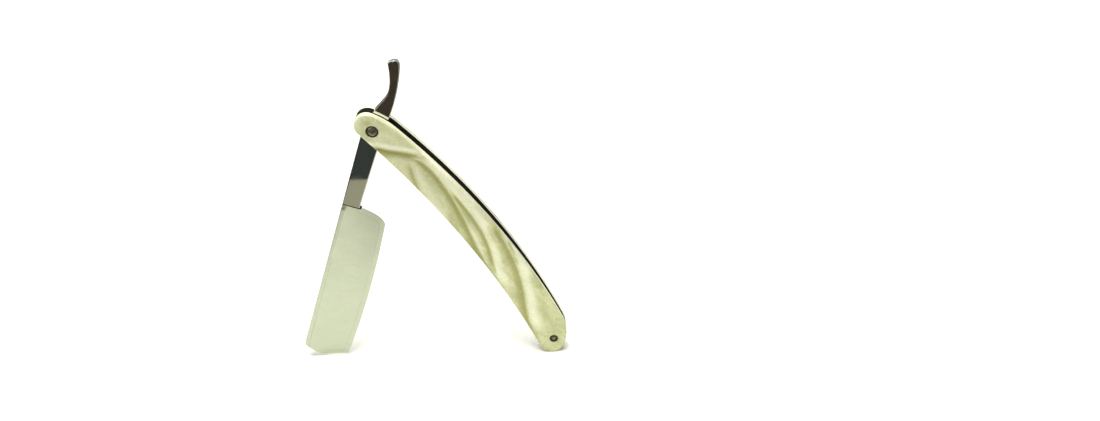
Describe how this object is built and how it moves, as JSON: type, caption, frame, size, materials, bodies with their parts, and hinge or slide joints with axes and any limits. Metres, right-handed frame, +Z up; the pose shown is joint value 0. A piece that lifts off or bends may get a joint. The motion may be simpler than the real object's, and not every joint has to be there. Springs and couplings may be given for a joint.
{
  "type": "straight razor",
  "caption": "Folding straight razor: hollow-ground steel blade with a curved tail, pinned between bowed, carved pearl-look scales that close over its edge.",
  "frame": {"origin": "centre of the bounding box at the ground, under the half-open razor as it stands on the blade's toe and the corner of the handle's butt", "axes": "+Z up; +X along the ground from the blade's toe to the handle's butt; Y across the thickness, with the razor's middle plane at Y = 0 and its front face towards -Y; the pivot's axis lies along Y"},
  "size_m": [0.127, 0.0106, 0.1525],
  "materials": {
    "blade_steel": "satin hollow-ground faces, polished shank and tail",
    "pearl_scale": "glossy pearl-look plastic, pale cream green with swirled relief",
    "liner_black": "thin black sheet",
    "wedge_black": "black, tapered to the scales' bend",
    "pin_steel": "peened rod, slightly tarnished",
    "collar_steel": "dull, darkened washers",
    "washer_brass": "plain thrust washers"
  },
  "bodies": {
    "handle": {"front_scale": "pearl_scale", "back_scale": "pearl_scale", "front_liner": "liner_black", "back_liner": "liner_black", "wedge": "wedge_black", "pivot_pin": "pin_steel", "front_pivot_collar": "collar_steel", "back_pivot_collar": "collar_steel", "front_pivot_dome": "collar_steel", "back_pivot_dome": "collar_steel", "front_thrust_washer": "washer_brass", "back_thrust_washer": "washer_brass", "wedge_pin": "pin_steel", "front_wedge_collar": "collar_steel", "back_wedge_collar": "collar_steel"},
    "blade": {"blade": "blade_steel"}
  },
  "joints": [
    {"name": "blade_pivot", "type": "hinge", "parent": "handle", "child": "blade", "pos_m": [-0.01717, 0, 0.12216], "axis": [0, -1, 0], "range_deg": [-281, 49.5]}
  ]
}
